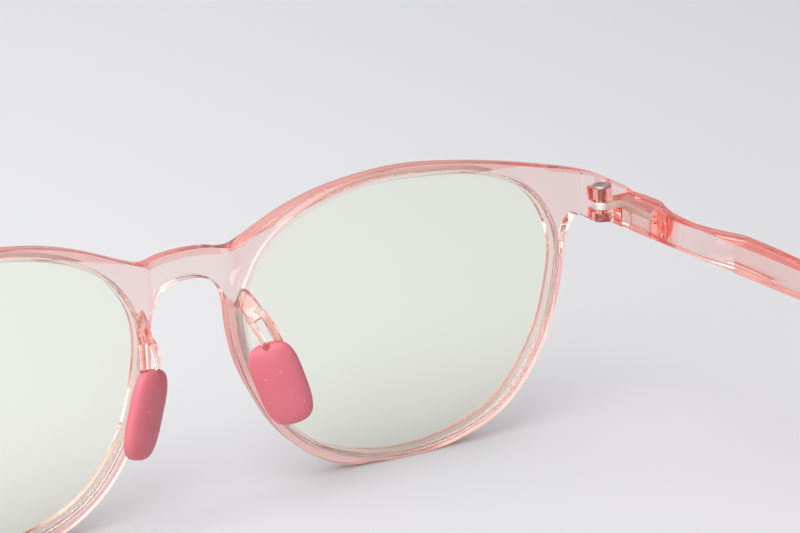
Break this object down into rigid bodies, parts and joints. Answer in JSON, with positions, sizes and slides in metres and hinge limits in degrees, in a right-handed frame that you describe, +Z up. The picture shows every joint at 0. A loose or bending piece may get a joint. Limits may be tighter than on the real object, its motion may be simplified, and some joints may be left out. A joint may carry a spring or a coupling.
{
  "type": "spectacles",
  "caption": "Clear pink moulded spectacles with faintly tinted blue-light lenses, push-on silicone nose pads and temples that fold on screw hinges.",
  "frame": {"origin": "middle of the open spectacles' bounding box, on the surface that the rims and temple tips stand on", "axes": "+X towards the wearer's left, -Y the way the lenses look, +Y back along the temples, +Z up along the hinge screws"},
  "size_m": [0.1432, 0.1425, 0.0434],
  "materials": {
    "clear_plastic": "clear gloss moulding with a pink tint",
    "lens_resin": "clear hard-coated resin with a faint yellow-green tint",
    "silicone": "satin moulded silicone",
    "screw_steel": "fine turned",
    "plate_metal": "bright nickel"
  },
  "bodies": {
    "front": {"front_frame": "clear_plastic", "right_lens": "lens_resin", "left_lens": "lens_resin", "right_nose_pad": "silicone", "left_nose_pad": "silicone", "right_hinge_screw": "screw_steel", "left_hinge_screw": "screw_steel", "right_hinge_nut": "screw_steel", "left_hinge_nut": "screw_steel"},
    "right_side": {"right_temple": "clear_plastic", "right_hinge_plate": "plate_metal", "right_plate_pin": "plate_metal"},
    "left_side": {"left_temple": "clear_plastic", "left_hinge_plate": "plate_metal", "left_plate_pin": "plate_metal"}
  },
  "joints": [
    {"name": "right_temple_fold", "type": "hinge", "parent": "front", "child": "right_side", "pos_m": [-0.0648, -0.06193, 0.0338], "axis": [0, 0, -1], "range_deg": [0, 85]},
    {"name": "left_temple_fold", "type": "hinge", "parent": "front", "child": "left_side", "pos_m": [0.0648, -0.06193, 0.0338], "axis": [0, 0, 1], "range_deg": [0, 90]}
  ]
}
